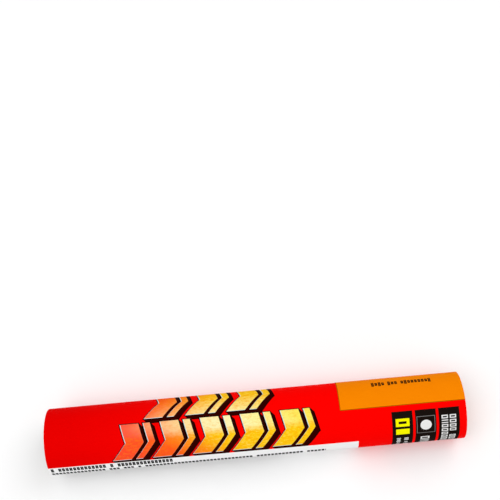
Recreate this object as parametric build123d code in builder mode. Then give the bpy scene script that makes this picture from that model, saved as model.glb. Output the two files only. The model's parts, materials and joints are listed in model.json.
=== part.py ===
"""Hand-held red flare: a printed, rolled-paper tube that is mostly an empty handle. At the fuse end a small
flame tube holds the pressed charge, and a coiled fuse waits under a pull-out cap.

Units are millimetres. The flare lies along X on the plane Z = 0, with the handle end towards -X and the
fuse end towards +X. The origin is on that plane, under the middle of the tube. A station is a place along X.
"""

import os
from math import atan2, cos, degrees, pi, radians, sin

from build123d import *

# Driving dimensions of the tube
tube_diameter = 35.0
tube_length = 219.0
casing_bore = 30.0
wrap_thickness = 0.2
label_thickness = 0.12

# Flame tube, with a bore that holds 12 cubic centimetres of pressed charge
flame_bore = 16.0
flame_wall = 2.5
flame_length = 72.0
mouth_recess = 15.0
clay_plug_length = 8.0
pellet_count = 5
pellet_length = 11.1
first_fire_length = 4.5
fuse_disc_thickness = 1.5
bulkhead_thickness = 2.5
rear_ring_length = 8.0
front_ring_length = 10.0
ring_spacing = 46.0

# Fuse: powder core, wound jacket, and the route that it takes under the cap
fuse_diameter = 2.5
fuse_core_diameter = 1.2
fuse_embedded = 3.5
fuse_lead_out = 3.6
fuse_bend_radius = 4.5
fuse_loop_radius = 11.2
fuse_loop_sweep = 250.0
bead_radius = 3.6
bead_height = 2.6
bead_foot = 0.5
bead_lip = 0.3
bead_hollow_radius = 3.4

# Pull-out cap, with its pull tab folded into the dish
cap_clearance = 0.08
cap_wall = 1.4
cap_length = 13.8
cap_recess = 0.3
cap_web = 1.6
cap_dish_depth = 5.0
cap_lead_in = 0.7
cap_land_depth = 0.22
cap_land_length = 2.2
cap_land_spacing = 5.3
tab_thickness = 1.8
tab_gap = 0.4
tab_rounding = 0.5
tab_ring_outer = 8.5
tab_ring_inner = 6.0
tab_ring_drop = 0.9
tab_neck_width = 8.0
tab_hinge_height = 9.2
hinge_film_gap = 0.5
hinge_block_height = 2.4

# Handle plug
plug_recess = 0.2
plug_length = 16.0
plug_wall = 1.6
plug_web = 1.6
plug_lead_in = 0.6
plug_dish_depth = 3.2
plug_groove_depth = 0.25
plug_groove_width = 2.6
plug_groove_depths_in = (5.0, 9.6)
plug_hub_radius = 3.6
plug_hub_height = 2.4
plug_gate_radius = 1.2
plug_rib_count = 6
plug_rib_width = 1.3
plug_rib_height = 1.8
plug_first_rib = 30.0

# Fuse label: where it starts along the tube, and its two long edges, in degrees from the top of the tube.
# Positive angles are on the -Y side.
label_start = 44.6
label_front_edge = 8.7
label_back_edge = -98.0

# Sizes and stations that follow from those
tube_radius = tube_diameter / 2
casing_radius = tube_radius - wrap_thickness
bore_radius = casing_bore / 2
flame_radius = flame_bore / 2
flame_outer_radius = flame_radius + flame_wall
handle_end = -tube_length / 2
fuse_end = tube_length / 2
axis_height = tube_radius
mouth = fuse_end - mouth_recess
flame_start = mouth - flame_length
charge_start = flame_start + clay_plug_length
first_fire_start = charge_start + pellet_count * pellet_length
disc_start = first_fire_start + first_fire_length
disc_face = disc_start + fuse_disc_thickness
tube_axis = Axis((0, 0, axis_height), (1, 0, 0))


def across(station):
    """The plane across the tube at a station: its X is the row's Y, and its Y is up."""
    return Plane(origin=(station, 0, axis_height), x_dir=(0, 1, 0), z_dir=(1, 0, 0))


# The plane through the tube's axis: its X runs along the tube, and its Y is the radius, upwards.
lengthwise = Plane(origin=(0, 0, axis_height), x_dir=(1, 0, 0), z_dir=(0, -1, 0))


def save(part, name):
    """Labels a finished piece and writes its STEP file."""
    part.label = name
    export_step(part, f"parts/{name}.step")


os.makedirs("parts", exist_ok=True)

# ---- Tube -----------------------------------------------------------------------------------------------

with BuildPart() as casing_tube:
    with BuildSketch(across(handle_end)):
        Circle(casing_radius)
        Circle(bore_radius, mode=Mode.SUBTRACT)
    extrude(amount=tube_length)
save(casing_tube.part, "casing_tube")

with BuildPart() as casing_wrap:
    with BuildSketch(across(handle_end)):
        Circle(tube_radius)
        Circle(casing_radius, mode=Mode.SUBTRACT)
    extrude(amount=tube_length)
save(casing_wrap.part, "casing_wrap")

# The label follows the tube round. An angle from the top, towards -Y, is that much past 90 in the sketch.
label_sweep = label_front_edge - label_back_edge
label_first = 90 + label_back_edge
label_last = 90 + label_front_edge
label_radius = tube_radius + label_thickness
with BuildPart() as fuse_label:
    with BuildSketch(across(label_start)):
        with BuildLine():
            outer_arc = CenterArc((0, 0), label_radius, label_first, label_sweep)
            inner_arc = CenterArc((0, 0), tube_radius, label_first, label_sweep)
            Line(outer_arc @ 0, inner_arc @ 0)
            Line(outer_arc @ 1, inner_arc @ 1)
        make_face()
    extrude(amount=fuse_end - label_start)
save(fuse_label.part, "fuse_label")

# ---- Handle end -----------------------------------------------------------------------------------------

plug_face = handle_end + plug_recess
plug_inner_radius = bore_radius - plug_wall
plug_web_start = plug_face + plug_dish_depth
rib_reach = plug_inner_radius + plug_wall / 2
with BuildPart() as handle_plug:
    with BuildSketch(across(plug_face)):
        Circle(bore_radius)
    extrude(amount=plug_length)
    chamfer(handle_plug.edges().filter_by(GeomType.CIRCLE).sort_by(Axis.X)[-1], plug_lead_in)
    with BuildSketch(across(plug_face)):
        Circle(plug_inner_radius)
    extrude(amount=plug_dish_depth, mode=Mode.SUBTRACT)
    with BuildSketch(across(plug_web_start + plug_web)):
        Circle(plug_inner_radius)
    extrude(amount=plug_length, mode=Mode.SUBTRACT)
    for depth_in in plug_groove_depths_in:
        with BuildSketch(across(plug_face + depth_in)):
            Circle(bore_radius)
            Circle(bore_radius - plug_groove_depth, mode=Mode.SUBTRACT)
        extrude(amount=plug_groove_width, mode=Mode.SUBTRACT)
    with BuildSketch(across(plug_web_start)):
        Circle(plug_hub_radius)
    extrude(amount=-plug_hub_height)
    with BuildSketch(across(plug_web_start)):
        with PolarLocations(rib_reach / 2, plug_rib_count, start_angle=plug_first_rib):
            Rectangle(rib_reach, plug_rib_width)
    extrude(amount=-plug_rib_height)
    with BuildSketch(across(plug_web_start)):
        Circle(plug_gate_radius)
    extrude(amount=-plug_dish_depth, mode=Mode.SUBTRACT)
save(handle_plug.part, "handle_plug")

# ---- Flame tube and what fills it -----------------------------------------------------------------------

with BuildPart() as bulkhead_disc:
    with BuildSketch(across(flame_start - bulkhead_thickness)):
        Circle(bore_radius)
    extrude(amount=bulkhead_thickness)
save(bulkhead_disc.part, "bulkhead_disc")

with BuildPart() as flame_tube:
    with BuildSketch(across(flame_start)):
        Circle(flame_outer_radius)
        Circle(flame_radius, mode=Mode.SUBTRACT)
    extrude(amount=flame_length)
save(flame_tube.part, "flame_tube")


def spacer_ring(start, length):
    """A ring that fills the gap between the flame tube and the casing."""
    with BuildPart() as ring:
        with BuildSketch(across(start)):
            Circle(bore_radius)
            Circle(flame_outer_radius, mode=Mode.SUBTRACT)
        extrude(amount=length)
    return ring.part


front_ring_start = mouth - front_ring_length
rear_ring_start = front_ring_start - ring_spacing - rear_ring_length
save(spacer_ring(rear_ring_start, rear_ring_length), "rear_spacer_ring")
save(spacer_ring(front_ring_start, front_ring_length), "front_spacer_ring")

with BuildPart() as clay_base_plug:
    with BuildSketch(across(flame_start)):
        Circle(flame_radius)
    extrude(amount=clay_plug_length)
save(clay_base_plug.part, "clay_base_plug")

# Pressed pellets are stacked end to end, and the punch leaves a small bevel on each face.
pellet_bevel = 0.5
for index in range(pellet_count):
    with BuildPart() as flame_pellet:
        with BuildSketch(across(charge_start + index * pellet_length)):
            Circle(flame_radius)
        extrude(amount=pellet_length)
        chamfer(flame_pellet.edges().filter_by(GeomType.CIRCLE), pellet_bevel)
    save(flame_pellet.part, f"flame_pellet_{index + 1}")

with BuildPart() as first_fire_pellet:
    with BuildSketch(across(first_fire_start)):
        Circle(flame_radius)
    extrude(amount=first_fire_length)
    with BuildSketch(across(disc_start)):
        Circle(fuse_diameter / 2)
    extrude(amount=-fuse_embedded, mode=Mode.SUBTRACT)
save(first_fire_pellet.part, "first_fire_pellet")

with BuildPart() as fuse_disc:
    with BuildSketch(across(disc_start)):
        Circle(flame_radius)
        Circle(fuse_diameter / 2, mode=Mode.SUBTRACT)
    extrude(amount=fuse_disc_thickness)
save(fuse_disc.part, "fuse_disc")

# The bead of glue climbs the fuse in a hollow curve.
fuse_radius = fuse_diameter / 2
bead_top = disc_face + bead_height
with BuildPart() as fuse_glue_bead:
    with BuildSketch(lengthwise):
        with BuildLine():
            bead_base = Line((disc_face, fuse_radius), (disc_face, bead_radius))
            bead_edge = Line(bead_base @ 1, (disc_face + bead_foot, bead_radius))
            bead_hollow = RadiusArc(bead_edge @ 1, (bead_top, fuse_radius + bead_lip), bead_hollow_radius)
            bead_rim = Line(bead_hollow @ 1, (bead_top, fuse_radius))
            Line(bead_rim @ 1, bead_base @ 0)
        make_face()
    revolve(axis=tube_axis)
save(fuse_glue_bead.part, "fuse_glue_bead")

# ---- Fuse -----------------------------------------------------------------------------------------------

# It leaves the first fire along the axis, bends to one side, and a small arc then carries it out to meet
# the big loop, touching that circle from the inside, so the whole route is smooth.
fuse_start = disc_start - fuse_embedded
bend_start = disc_face + fuse_lead_out
loop_station = bend_start + fuse_bend_radius
join_radius = (fuse_loop_radius**2 - fuse_bend_radius**2) / (2 * fuse_loop_radius)
join_angle = degrees(atan2(join_radius, fuse_bend_radius))


def in_loop_plane(y, z):
    """A point of the loop's plane, from its distances off the tube's axis."""
    return Vector(loop_station, y, axis_height + z)


def on_loop(angle):
    """A point of the big loop, at an angle from +Y."""
    return in_loop_plane(fuse_loop_radius * cos(radians(angle)), fuse_loop_radius * sin(radians(angle)))


def on_join(angle):
    """A point of the small arc, at an angle from +Y. Its centre is straight above the end of the bend."""
    y = fuse_bend_radius + join_radius * cos(radians(angle))
    z = join_radius + join_radius * sin(radians(angle))
    return in_loop_plane(y, z)


def on_bend(angle):
    """A point of the bend that turns the fuse off the axis, at the angle turned so far."""
    along = fuse_bend_radius * sin(radians(angle))
    aside = fuse_bend_radius * (1 - cos(radians(angle)))
    return Vector(bend_start + along, aside, axis_height)


join_start_angle = -90
with BuildLine() as fuse_route:
    lead = Line((fuse_start, 0, axis_height), (bend_start, 0, axis_height))
    bend = ThreePointArc(lead @ 1, on_bend(45), on_bend(90))
    join = ThreePointArc(bend @ 1, on_join((join_start_angle + join_angle) / 2), on_loop(join_angle))
    loop = ThreePointArc(
        join @ 1,
        on_loop(join_angle + fuse_loop_sweep / 2),
        on_loop(join_angle + fuse_loop_sweep),
    )

with BuildPart() as fuse_jacket:
    with BuildSketch(across(fuse_start)):
        Circle(fuse_radius)
        Circle(fuse_core_diameter / 2, mode=Mode.SUBTRACT)
    sweep(path=fuse_route.wire())
save(fuse_jacket.part, "fuse_jacket")

with BuildPart() as fuse_powder_core:
    with BuildSketch(across(fuse_start)):
        Circle(fuse_core_diameter / 2)
    sweep(path=fuse_route.wire())
save(fuse_powder_core.part, "fuse_powder_core")

# ---- Cap and pull tab -----------------------------------------------------------------------------------

cap_face = fuse_end - cap_recess
cap_start = cap_face - cap_length
cap_radius = bore_radius - cap_clearance
cap_inner_radius = cap_radius - cap_wall
web_face = cap_face - cap_dish_depth
web_back = web_face - cap_web
tab_back = web_face + tab_gap
tab_front = tab_back + tab_thickness
first_groove = cap_start + cap_lead_in + cap_land_length
hinge_block_middle = tab_hinge_height + (hinge_film_gap + hinge_block_height) / 2
with BuildPart() as fuse_cap:
    with BuildSketch(across(cap_start)):
        Circle(cap_radius)
    extrude(amount=cap_length)
    chamfer(fuse_cap.edges().filter_by(GeomType.CIRCLE).sort_by(Axis.X)[0], cap_lead_in)
    for groove in range(2):
        with BuildSketch(across(first_groove + groove * cap_land_spacing)):
            Circle(cap_radius)
            Circle(cap_radius - cap_land_depth, mode=Mode.SUBTRACT)
        extrude(amount=cap_land_spacing - cap_land_length, mode=Mode.SUBTRACT)
    with BuildSketch(across(cap_face)):
        Circle(cap_inner_radius)
    extrude(amount=-cap_dish_depth, mode=Mode.SUBTRACT)
    with BuildSketch(across(cap_start)):
        Circle(cap_inner_radius)
    extrude(amount=web_back - cap_start, mode=Mode.SUBTRACT)
    with BuildSketch(across(web_face)):
        with Locations((0, hinge_block_middle)):
            Rectangle(tab_neck_width, hinge_block_height)
    extrude(amount=tab_front - web_face)
save(fuse_cap.part, "fuse_cap")

ring_centre = -tab_ring_drop
neck_foot = ring_centre + tab_ring_inner
neck_top = tab_hinge_height - hinge_film_gap / 2
with BuildPart() as pull_tab:
    with BuildSketch(across(tab_back)):
        with Locations((0, ring_centre)):
            Circle(tab_ring_outer)
        with Locations((0, (neck_foot + neck_top) / 2)):
            Rectangle(tab_neck_width, neck_top - neck_foot)
        with Locations((0, ring_centre)):
            Circle(tab_ring_inner, mode=Mode.SUBTRACT)
    extrude(amount=tab_thickness)
    fillet(pull_tab.faces().sort_by(Axis.X)[-1].edges().filter_by(GeomType.CIRCLE), tab_rounding)
save(pull_tab.part, "pull_tab")

# The pull tab folds out about its film, which crosses the dish along -Y at the tab's outer skin.
print("film hinge at", round(tab_front, 3), 0.0, round(axis_height + tab_hinge_height, 3))

# The fuse: its bends, and its volume against its section times its length
jacket_section = pi * (fuse_radius**2 - (fuse_core_diameter / 2) ** 2)
fuse_length = fuse_route.wire().length
print("fuse radii", fuse_bend_radius, round(join_radius, 2), fuse_loop_radius, "length", round(fuse_length, 2))
print("jacket volume", round(fuse_jacket.part.volume, 2), "against", round(jacket_section * fuse_length, 2))
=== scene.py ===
"""The looks of the hand-held flare: printed paper, rolled board, moulded cap and plug, and a wound fuse.

Everything is in metres, in the CAD frame: the tube lies along X and +Z is up. Print is drawn in millimetres
on the unrolled paper, where "along" is X, and "around" is the arc from the top of the tube towards -Y.
"""

import json
from math import acos, atan2, cos, pi, radians, sin, sqrt, tan

import bmesh
import bpy
from mathutils import Matrix, Quaternion, Vector, noise


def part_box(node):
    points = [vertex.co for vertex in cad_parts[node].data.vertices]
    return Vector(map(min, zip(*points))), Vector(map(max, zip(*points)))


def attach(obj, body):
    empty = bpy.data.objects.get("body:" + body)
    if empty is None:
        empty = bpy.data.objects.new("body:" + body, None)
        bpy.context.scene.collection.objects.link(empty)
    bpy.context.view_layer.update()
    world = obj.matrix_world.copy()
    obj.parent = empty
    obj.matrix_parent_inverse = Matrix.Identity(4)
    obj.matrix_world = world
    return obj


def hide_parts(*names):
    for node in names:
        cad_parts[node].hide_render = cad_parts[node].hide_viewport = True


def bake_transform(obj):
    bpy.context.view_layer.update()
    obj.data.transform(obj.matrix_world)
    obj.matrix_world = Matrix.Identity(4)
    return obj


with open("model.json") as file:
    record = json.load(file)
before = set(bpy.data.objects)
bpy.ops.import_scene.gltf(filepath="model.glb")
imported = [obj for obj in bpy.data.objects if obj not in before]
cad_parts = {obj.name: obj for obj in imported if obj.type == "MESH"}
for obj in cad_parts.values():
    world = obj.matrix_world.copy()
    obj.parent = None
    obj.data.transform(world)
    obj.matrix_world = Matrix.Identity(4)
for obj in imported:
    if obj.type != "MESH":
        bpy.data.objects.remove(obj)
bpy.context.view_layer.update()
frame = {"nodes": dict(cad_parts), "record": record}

# ---- Sizes ------------

MM = 0.001
barrel = next(mount for mount in frame["record"]["mounts"] if mount["name"] == "barrel")
TUBE_RADIUS = barrel["dims"]["r_mm"] * MM
HALF_LENGTH = barrel["dims"]["length_mm"] * MM / 2
AXIS_HEIGHT = barrel["pos_m"][2]
HANDLE_END = -HALF_LENGTH
FUSE_END = HALF_LENGTH
PAPER_DEPTH = 0.2 * MM
CASING_RADIUS = TUBE_RADIUS - PAPER_DEPTH
BORE_RADIUS = 15.0 * MM
LABEL_DEPTH = 0.12 * MM
FLAME_RADIUS = 8.0 * MM
FLAME_OUTER_RADIUS = 10.5 * MM
FUSE_RADIUS = 1.25 * MM


def span(node):
    """The lowest and highest X of a CAD node."""
    low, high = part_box(node)
    return low.x, high.x


# ---- Arithmetic in materials ------------


def two_terms(operation):
    """A method that works out an operation on a value and another term."""
    return lambda value, other: value.math(operation, value, other)


class Value:
    """A number in a material's tree. Arithmetic on it adds the Math nodes that work it out."""

    def __init__(self, tree, socket):
        self.tree = tree
        self.socket = socket

    def math(self, operation, *terms, clamp=False):
        node = self.tree.nodes.new("ShaderNodeMath")
        node.operation = operation
        node.use_clamp = clamp
        for socket, term in zip(node.inputs, terms):
            connect(self.tree, term, socket)
        return Value(self.tree, node.outputs[0])

    __add__ = two_terms("ADD")
    __sub__ = two_terms("SUBTRACT")
    __mul__ = two_terms("MULTIPLY")
    __truediv__ = two_terms("DIVIDE")
    wrapped = two_terms("FLOORED_MODULO")
    power = two_terms("POWER")
    least = two_terms("MINIMUM")
    most = two_terms("MAXIMUM")
    above = two_terms("GREATER_THAN")

    def __rsub__(self, other):
        return self.math("SUBTRACT", other, self)

    def floor(self):
        return self.math("FLOOR", self)

    def size(self):
        return self.math("ABSOLUTE", self)

    def clamped(self):
        return self.math("ADD", self, 0.0, clamp=True)


def connect(tree, term, socket):
    """Gives a socket a Value, another socket, or a plain number or colour."""
    if isinstance(term, Value):
        tree.links.new(term.socket, socket)
    elif isinstance(term, bpy.types.NodeSocket):
        tree.links.new(term, socket)
    else:
        socket.default_value = term


def linear(red, green, blue):
    """A colour from its usual 0 to 255 numbers."""
    steps = [part / 255 for part in (red, green, blue)]
    return tuple(x / 12.92 if x <= 0.04045 else ((x + 0.055) / 1.055) ** 2.4 for x in steps) + (1.0,)


def painted(mask, under, over):
    """The colour under, painted over where the mask is 1."""
    node = mask.tree.nodes.new("ShaderNodeMix")
    node.data_type = "RGBA"
    connect(mask.tree, mask, node.inputs["Factor"])
    connect(mask.tree, under, node.inputs[6])
    connect(mask.tree, over, node.inputs[7])
    return node.outputs[2]


INK_EDGE = 0.06


def inked(distance, spread=0.0):
    """1 inside a shape, from the distance to its edge in millimetres, which is negative inside."""
    return distance.math("MULTIPLY_ADD", distance, -1 / INK_EDGE, 0.5 + spread / INK_EDGE, clamp=True)


def between(value, low, high):
    """The distance of a value outside a range, negative inside it."""
    return (value - (low + high) / 2).size() - (high - low) / 2


def rectangle(along, around, low, high):
    """The distance to a rectangle with two of its corners at low and high."""
    return between(along, low[0], high[0]).most(between(around, low[1], high[1]))


def disc(along, around, centre, radius):
    """The distance to a disc."""
    right = along - centre[0]
    down = around - centre[1]
    return (right * right + down * down).power(0.5) - radius


def ramp(value, stops):
    """A colour that follows a value from 0 to 1 through stops of (place, red, green, blue)."""
    node = value.tree.nodes.new("ShaderNodeValToRGB")
    connect(value.tree, value, node.inputs["Fac"])
    elements = node.color_ramp.elements
    for element, (place, *colour) in zip(elements, (stops[0], stops[-1])):
        element.position = place
        element.color = linear(*colour)
    for place, *colour in stops[1:-1]:
        elements.new(place).color = linear(*colour)
    return node.outputs["Color"]


def stretched(tree, vector, factors):
    """The vector with each part multiplied by its factor."""
    node = tree.nodes.new("ShaderNodeVectorMath")
    node.operation = "MULTIPLY"
    connect(tree, vector, node.inputs[0])
    node.inputs[1].default_value = factors
    return node.outputs["Vector"]


def noise_of(tree, vector, scale, detail, roughness):
    """Soft noise from 0 to 1 at a vector."""
    node = tree.nodes.new("ShaderNodeTexNoise")
    connect(tree, vector, node.inputs["Vector"])
    node.inputs["Scale"].default_value = scale
    node.inputs["Detail"].default_value = detail
    node.inputs["Roughness"].default_value = roughness
    return Value(tree, node.outputs["Fac"])


def chances(value, seed):
    """Two random numbers from 0 to 1 for each whole value."""
    node = value.tree.nodes.new("ShaderNodeTexWhiteNoise")
    node.noise_dimensions = "1D"
    connect(value.tree, value + seed, node.inputs["W"])
    parts = value.tree.nodes.new("ShaderNodeSeparateColor")
    value.tree.links.new(node.outputs["Color"], parts.inputs["Color"])
    return [Value(value.tree, part) for part in parts.outputs[:2]]


class Finish:
    """A material under construction: its tree, its shader and where a point is on the object."""

    def __init__(self, name, roughness, specular=0.5):
        self.material = bpy.data.materials.new(name)
        self.material.use_nodes = True
        self.tree = self.material.node_tree
        self.shader = self.tree.nodes["Principled BSDF"]
        self.shader.inputs["Specular IOR Level"].default_value = specular
        self.shader.inputs["Roughness"].default_value = roughness
        self.place = self.tree.nodes.new("ShaderNodeTexCoord").outputs["Object"]

    def parts(self):
        """X, Y and the height over the tube's axis, in millimetres."""
        node = self.tree.nodes.new("ShaderNodeSeparateXYZ")
        self.tree.links.new(self.place, node.inputs[0])
        x, y, z = [Value(self.tree, part) / MM for part in node.outputs]
        return x, y, z - AXIS_HEIGHT / MM

    def set(self, name, value):
        connect(self.tree, value, self.shader.inputs[name])

    def noise(self, scale, detail=3.0, roughness=0.55, along=1.0):
        """Soft noise from 0 to 1, with scale features in a metre, and that share of them along X."""
        place = self.place if along == 1.0 else stretched(self.tree, self.place, (along, 1, 1))
        return noise_of(self.tree, place, scale, detail, roughness)

    def bump(self, height, depth):
        """Relief from a height of 0 to 1, which stands for that depth in metres."""
        node = self.tree.nodes.new("ShaderNodeBump")
        node.inputs["Distance"].default_value = depth
        connect(self.tree, height, node.inputs["Height"])
        self.tree.links.new(node.outputs["Normal"], self.shader.inputs["Normal"])


def in_scene(name, data):
    """A new object in the scene."""
    thing = bpy.data.objects.new(name, data)
    bpy.context.scene.collection.objects.link(thing)
    return thing


# ---- Camera, light and floor ------------

CAMERA_PLACE = Vector((8.8, -144.6, 499.5)) * MM
CAMERA_AIM = Vector((5.4, 113.2, 0)) * MM
CAMERA_ROLL = radians(-5.94)
CAMERA_LENS = 66.6
# Each soft box: its name, place, size and power
SOFT_BOXES = (
    ("key_light", Vector((-0.5, -0.62, 2.05)), 1.8, 21.0),
    ("fill_light", Vector((1.2, 0.7, 1.8)), 1.6, 9.5),
)
SKY_HORIZON = 0.42
SKY_OVERHEAD = 0.72
HAZE = 0.6
HAZE_FLAT = 0.06
HAZE_TOP = 0.2
FLOOR_GREY = 0.96
FLOOR_HALF = 60.0
FLOOR_LIT = 0.35
FLOOR_FADE = 2.0
FLOOR_LIFT = 0.42


def add_camera():
    """The camera looks down on the flare from above its -Y side, turned a little about its own view."""
    camera = in_scene("camera", bpy.data.cameras.new("camera"))
    camera.data.lens = CAMERA_LENS
    camera.data.clip_start = 0.01
    camera.location = CAMERA_PLACE
    level = (CAMERA_AIM - CAMERA_PLACE).to_track_quat("-Z", "Y")
    camera.rotation_euler = (level @ Quaternion((0, 0, 1), CAMERA_ROLL)).to_euler()
    bpy.context.scene.camera = camera


def add_light(name, place, size, power):
    """A square soft box that points at the middle of the flare."""
    light = in_scene(name, bpy.data.lights.new(name, "AREA"))
    light.data.size = size
    light.data.energy = power
    light.location = place
    light.rotation_euler = (Vector((0, 0, AXIS_HEIGHT)) - light.location).to_track_quat("-Z", "Y").to_euler()


def add_sky():
    """A plain sky, brighter overhead, with a band of white haze where it meets the floor."""
    world = bpy.data.worlds.new("studio")
    world.use_nodes = True
    tree = world.node_tree
    direction = tree.nodes.new("ShaderNodeSeparateXYZ")
    tree.links.new(tree.nodes.new("ShaderNodeTexCoord").outputs["Generated"], direction.inputs[0])
    height = Value(tree, direction.outputs["Z"])
    haze = ((HAZE_TOP - height) / (HAZE_TOP - HAZE_FLAT)).clamped() * HAZE
    glow = height.clamped() * (SKY_OVERHEAD - SKY_HORIZON) + haze + SKY_HORIZON
    connect(tree, glow, tree.nodes["Background"].inputs["Strength"])
    tree.nodes["Background"].inputs["Color"].default_value = (1, 1, 1, 1)
    bpy.context.scene.world = world


def pale_floor():
    """A matt pale floor, lifted a little far away, where the soft boxes no longer reach."""
    finish = Finish("pale_floor", 1.0, 0.0)
    finish.set("Base Color", (FLOOR_GREY, FLOOR_GREY, FLOOR_GREY, 1))
    x, y, _ = finish.parts()
    away = (x * x + y * y).power(0.5) * MM
    finish.set("Emission Color", (1, 1, 1, 1))
    finish.set("Emission Strength", ((away - FLOOR_LIT) / FLOOR_FADE).clamped() * FLOOR_LIFT)
    return finish.material


def add_studio():
    """Two soft boxes, a soft sky and a pale floor."""
    for soft_box in SOFT_BOXES:
        add_light(*soft_box)
    add_sky()
    bpy.context.scene.view_settings.view_transform = "Standard"
    corners = [(x * FLOOR_HALF, y * FLOOR_HALF, 0) for x, y in ((-1, -1), (1, -1), (1, 1), (-1, 1))]
    mesh = bpy.data.meshes.new("floor")
    mesh.from_pydata(corners, [], [(0, 1, 2, 3)])
    mesh.materials.append(pale_floor())
    in_scene("floor", mesh)


# ---- The print ------------

# The two rows of arrow blocks: where each starts along the tube, its length, its middle line and its blocks
ROW_HEIGHT = 19.7
ROW_GAP = 5.4
ROW_SLANT = tan(radians(15))
ARROW_POINT = 0.5
ARROW_BANDS = ((0.0, 9.7), (12.0, 15.7))
ARROW_ROWS = (
    {"start": -54.6, "length": 59.4, "middle": -12.3, "count": 3},
    {"start": -72.5, "length": 98.8, "middle": 9.5, "count": 5},
)
SHADOW_RIGHT = 2.0
SHADOW_DOWN = 2.2
SHADOW_MARGIN = 1.2
SHADOW_STEEP = 0.8
SHADOW_INSET = -0.05
OUTLINE = 0.42
RIM_RIGHT = 0.3
RIM_UP = 0.26

# The arrows' colours change along the tube, as (place, red, green, blue), and lag behind away from one line.
# A glow lies over the middle of both rows.
ARROW_DEEP = (
    (0.0, 254, 70, 42),
    (0.22, 254, 88, 22),
    (0.3, 254, 130, 24),
    (0.36, 254, 152, 14),
    (0.42, 254, 184, 8),
    (0.5, 254, 201, 6),
    (1.0, 254, 205, 6),
)
ARROW_PALE = (
    (0.08, 253, 80, 60),
    (0.15, 254, 94, 68),
    (0.22, 254, 130, 88),
    (0.3, 254, 178, 124),
    (0.4, 254, 214, 150),
    (0.5, 254, 236, 176),
    (0.62, 254, 242, 182),
    (0.76, 254, 240, 152),
    (0.92, 254, 230, 94),
)
HUE_LINE = 2.0
HUE_LAG_BELOW = 1.25
HUE_LAG_ABOVE = 0.65
HUE_WANDER = 7.0
HUE_START = -85.0
HUE_LENGTH = 115.0
GLOW_EDGE = 5.4
GLOW_FADE_BELOW = 4.2
GLOW_FADE_ABOVE = 15.0
GLOW_WEAR = 0.36
GLOW_POWER = 1.45
SPECK_STEEP = 8.0
PALE_SPECKS = 0.47
PALE_SPECK_INK = 0.3
DARK_SPECKS = 0.48
DARK_SPECK_INK = 0.5
WEAR_STEEP = 6.0

WHITE_PANEL = ((-120.0, 21.1), (53.1, 50.0))
PANEL_SKEW = 0.003

# Lines of small print are rows of marks, whose sizes are shares of their pitch and height.
MARK_HALF_WIDTH = 0.37
MARK_HALF_LOW = 0.36
MARK_BARS_SHARE = 0.4
PANEL_PRINT = {"start": -109.0, "height": 3.4, "pitch": 1.9, "weight": 0.12, "capitals": True, "gaps": 0.07}
PANEL_LINES = (
    {
        "start": -108.6, "end": -44.0, "middle": 23.2, "height": 3.3, "pitch": 1.95, "seed": 3.0,
        "weight": 0.105, "capitals": True,
    },
    {**PANEL_PRINT, "end": 36.0, "middle": 28.0, "seed": 41.0},
    {**PANEL_PRINT, "end": 22.0, "middle": 32.5, "seed": 441.0},
    {**PANEL_PRINT, "end": 41.0, "middle": 37.0, "seed": 841.0},
    {**PANEL_PRINT, "end": 12.0, "middle": 41.5, "seed": 1241.0},
    {"start": -109.0, "end": -30.0, "middle": 46.0, "height": 2.0, "pitch": 1.2, "seed": 2900.0},
)

# The three tabs, and the plain signs and lines of print on them. Across is from the tab's middle.
TAB_SPANS = ((70.75, 81.5), (82.8, 93.6), (94.9, 105.7))
TAB_TOP = 5.75
TAB_LENGTH = 31.5
TAB_END_SLANT = 0.35
SIGN_BOX = ((-2.8, 10.3), (2.8, 13.2))
SIGN_STROKE = 0.75
SIGN_BLOCK = ((-3.5, 15.4), (3.5, 18.9))
SIGN_FRAME = ((-4.6, 9.3), (4.6, 19.0))
FRAME_STROKE = 0.16
DISC_MIDDLE = (0.0, 14.15)
DISC_RADIUS = 2.9
TINY_PRINT = {"start": 21.6, "height": 2.2, "pitch": 1.4}
LARGE_PRINT = {"start": 21.6, "height": 4.6, "pitch": 3.6, "weight": 0.08, "capitals": True, "gaps": 0}
PLAIN_PRINT = {"start": 9.2, "end": 35.0, "height": 3.3, "pitch": 2.6, "weight": 0.085, "capitals": True}
TAB_LINES = (
    (0, {**TINY_PRINT, "end": 36.0, "middle": 2.0, "seed": 5000.0}),
    (0, {**TINY_PRINT, "end": 35.0, "middle": -2.0, "seed": 5304.0}),
    (1, {**LARGE_PRINT, "end": 36.0, "middle": -0.3, "seed": 5611.0}),
    (2, {**PLAIN_PRINT, "middle": 1.9, "seed": 6002.0}),
    (2, {**PLAIN_PRINT, "middle": -2.3, "seed": 6302.0}),
)

# The label's line of print, in three words
LABEL_WORDS = ((62.6, 69.6), (71.2, 76.5), (78.1, 94.0))
LABEL_SEED = 8021.0
LABEL_PRINT = {"middle": -11.7, "height": 3.6, "pitch": 1.8, "weight": 0.085, "gaps": 0}


def arrow_front(along, down, row, side):
    """How far a point is past the row's first edge. side is 1 for the half below its middle, -1 for above."""
    return along + down * (ROW_SLANT + side * ARROW_POINT) - (row["start"] + ARROW_POINT * ROW_HEIGHT / 2)


def arrow_pitch(row):
    """From one block of the row to the next."""
    return (row["length"] + ROW_GAP) / row["count"]


def arrows(along, around, row):
    """The distance to one row of slanted arrow blocks, each a thick arrow and a thin one behind a slit."""
    down = around - row["middle"]
    front = arrow_front(along, down, row, 0) + down.size() * ARROW_POINT
    phase = (front + ROW_GAP / 2).wrapped(arrow_pitch(row)) - ROW_GAP / 2
    thick, thin = [between(phase, *band) for band in ARROW_BANDS]
    steep = 1 / sqrt(1 + ARROW_POINT**2)
    bands = thick.least(thin).most(between(front, 0, row["length"])) * steep
    return bands.most(down.size() - ROW_HEIGHT / 2)


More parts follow.
